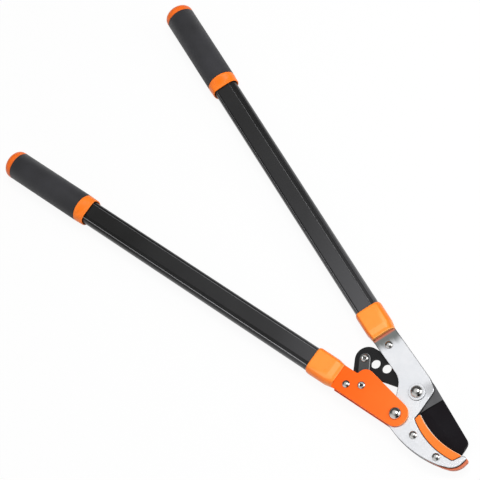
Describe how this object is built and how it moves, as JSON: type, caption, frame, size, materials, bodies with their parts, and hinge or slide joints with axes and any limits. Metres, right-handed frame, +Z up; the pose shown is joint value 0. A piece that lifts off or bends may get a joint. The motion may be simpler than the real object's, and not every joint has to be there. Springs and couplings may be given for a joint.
{
  "type": "anvil lopper",
  "caption": "Long-handled garden lopper: a black blade closes on an orange anvil pad between silver plates, its notched tail drawn by a link on the lower lever.",
  "frame": {"origin": "centre of the bounding box, at its lowest point; the tool lies flat with the grips on the floor, blade closed", "axes": "+X along the line midway between the handles, towards the jaw; +Y towards the upper handle; +Z up through the blade pivot, towards the bolt's domed head"},
  "size_m": [0.6822, 0.3074, 0.0352],
  "materials": {
    "orange_plastic": "moulded orange nylon, soft gloss",
    "orange_paint": "orange powder coat on steel",
    "black_rubber": "matt black soft grip",
    "black_tube": "black coat on a drawn tube, satin",
    "plated_steel": "bright plated steel sheet",
    "rivet_steel": "bright plated fastener",
    "coated_blade": "black non-stick coat on hardened steel",
    "link_steel": "dark phosphated steel"
  },
  "bodies": {
    "anvil": {"anvil_plate_front": "plated_steel", "anvil_plate_back": "plated_steel", "anvil_tang_spacer": "link_steel", "anvil_tang_rivet": "rivet_steel", "anvil_pad": "orange_plastic", "pad_rivet_inner": "rivet_steel", "pad_rivet_outer": "rivet_steel", "pivot_bolt": "rivet_steel", "pivot_nut": "rivet_steel", "pivot_washer_front": "rivet_steel", "pivot_washer_back": "rivet_steel", "jaw_spacer": "link_steel", "upper_tube": "black_tube", "upper_ferrule": "orange_plastic", "upper_grip_core": "orange_plastic", "upper_grip_sleeve": "black_rubber", "upper_end_cap": "orange_plastic"},
    "blade": {"blade": "coated_blade"},
    "lever": {"lever_plate_front": "orange_paint", "lever_plate_back": "orange_paint", "lever_block": "link_steel", "lever_tang_rivet": "rivet_steel", "lever_pivot_rivet": "rivet_steel", "link_rivet": "rivet_steel", "lower_tube": "black_tube", "lower_ferrule": "orange_plastic", "lower_grip_core": "orange_plastic", "lower_grip_sleeve": "black_rubber", "lower_end_cap": "orange_plastic"},
    "link": {"link_plate_front": "link_steel", "link_plate_back": "link_steel", "link_pin": "rivet_steel"}
  },
  "joints": [
    {"name": "lever_hinge", "type": "hinge", "parent": "anvil", "child": "lever", "pos_m": [0.24757, -0.01827, 0.0176], "axis": [0, 0, 1], "range_deg": [0, 55]},
    {"name": "blade_pivot", "type": "hinge", "parent": "anvil", "child": "blade", "pos_m": [0.24607, 0.01513, 0.0176], "axis": [0, 0, 1], "range_deg": [0, 38.5]},
    {"name": "link_hinge", "type": "hinge", "parent": "lever", "child": "link", "pos_m": [0.19727, -0.02307, 0.0176], "axis": [0, 0, 1], "range_deg": [-52.5, 0]}
  ],
  "couplings": [
    {"joint": "blade_pivot", "follows": "lever_hinge", "ratio": 0.691},
    {"joint": "link_hinge", "follows": "lever_hinge", "ratio": -0.943}
  ]
}
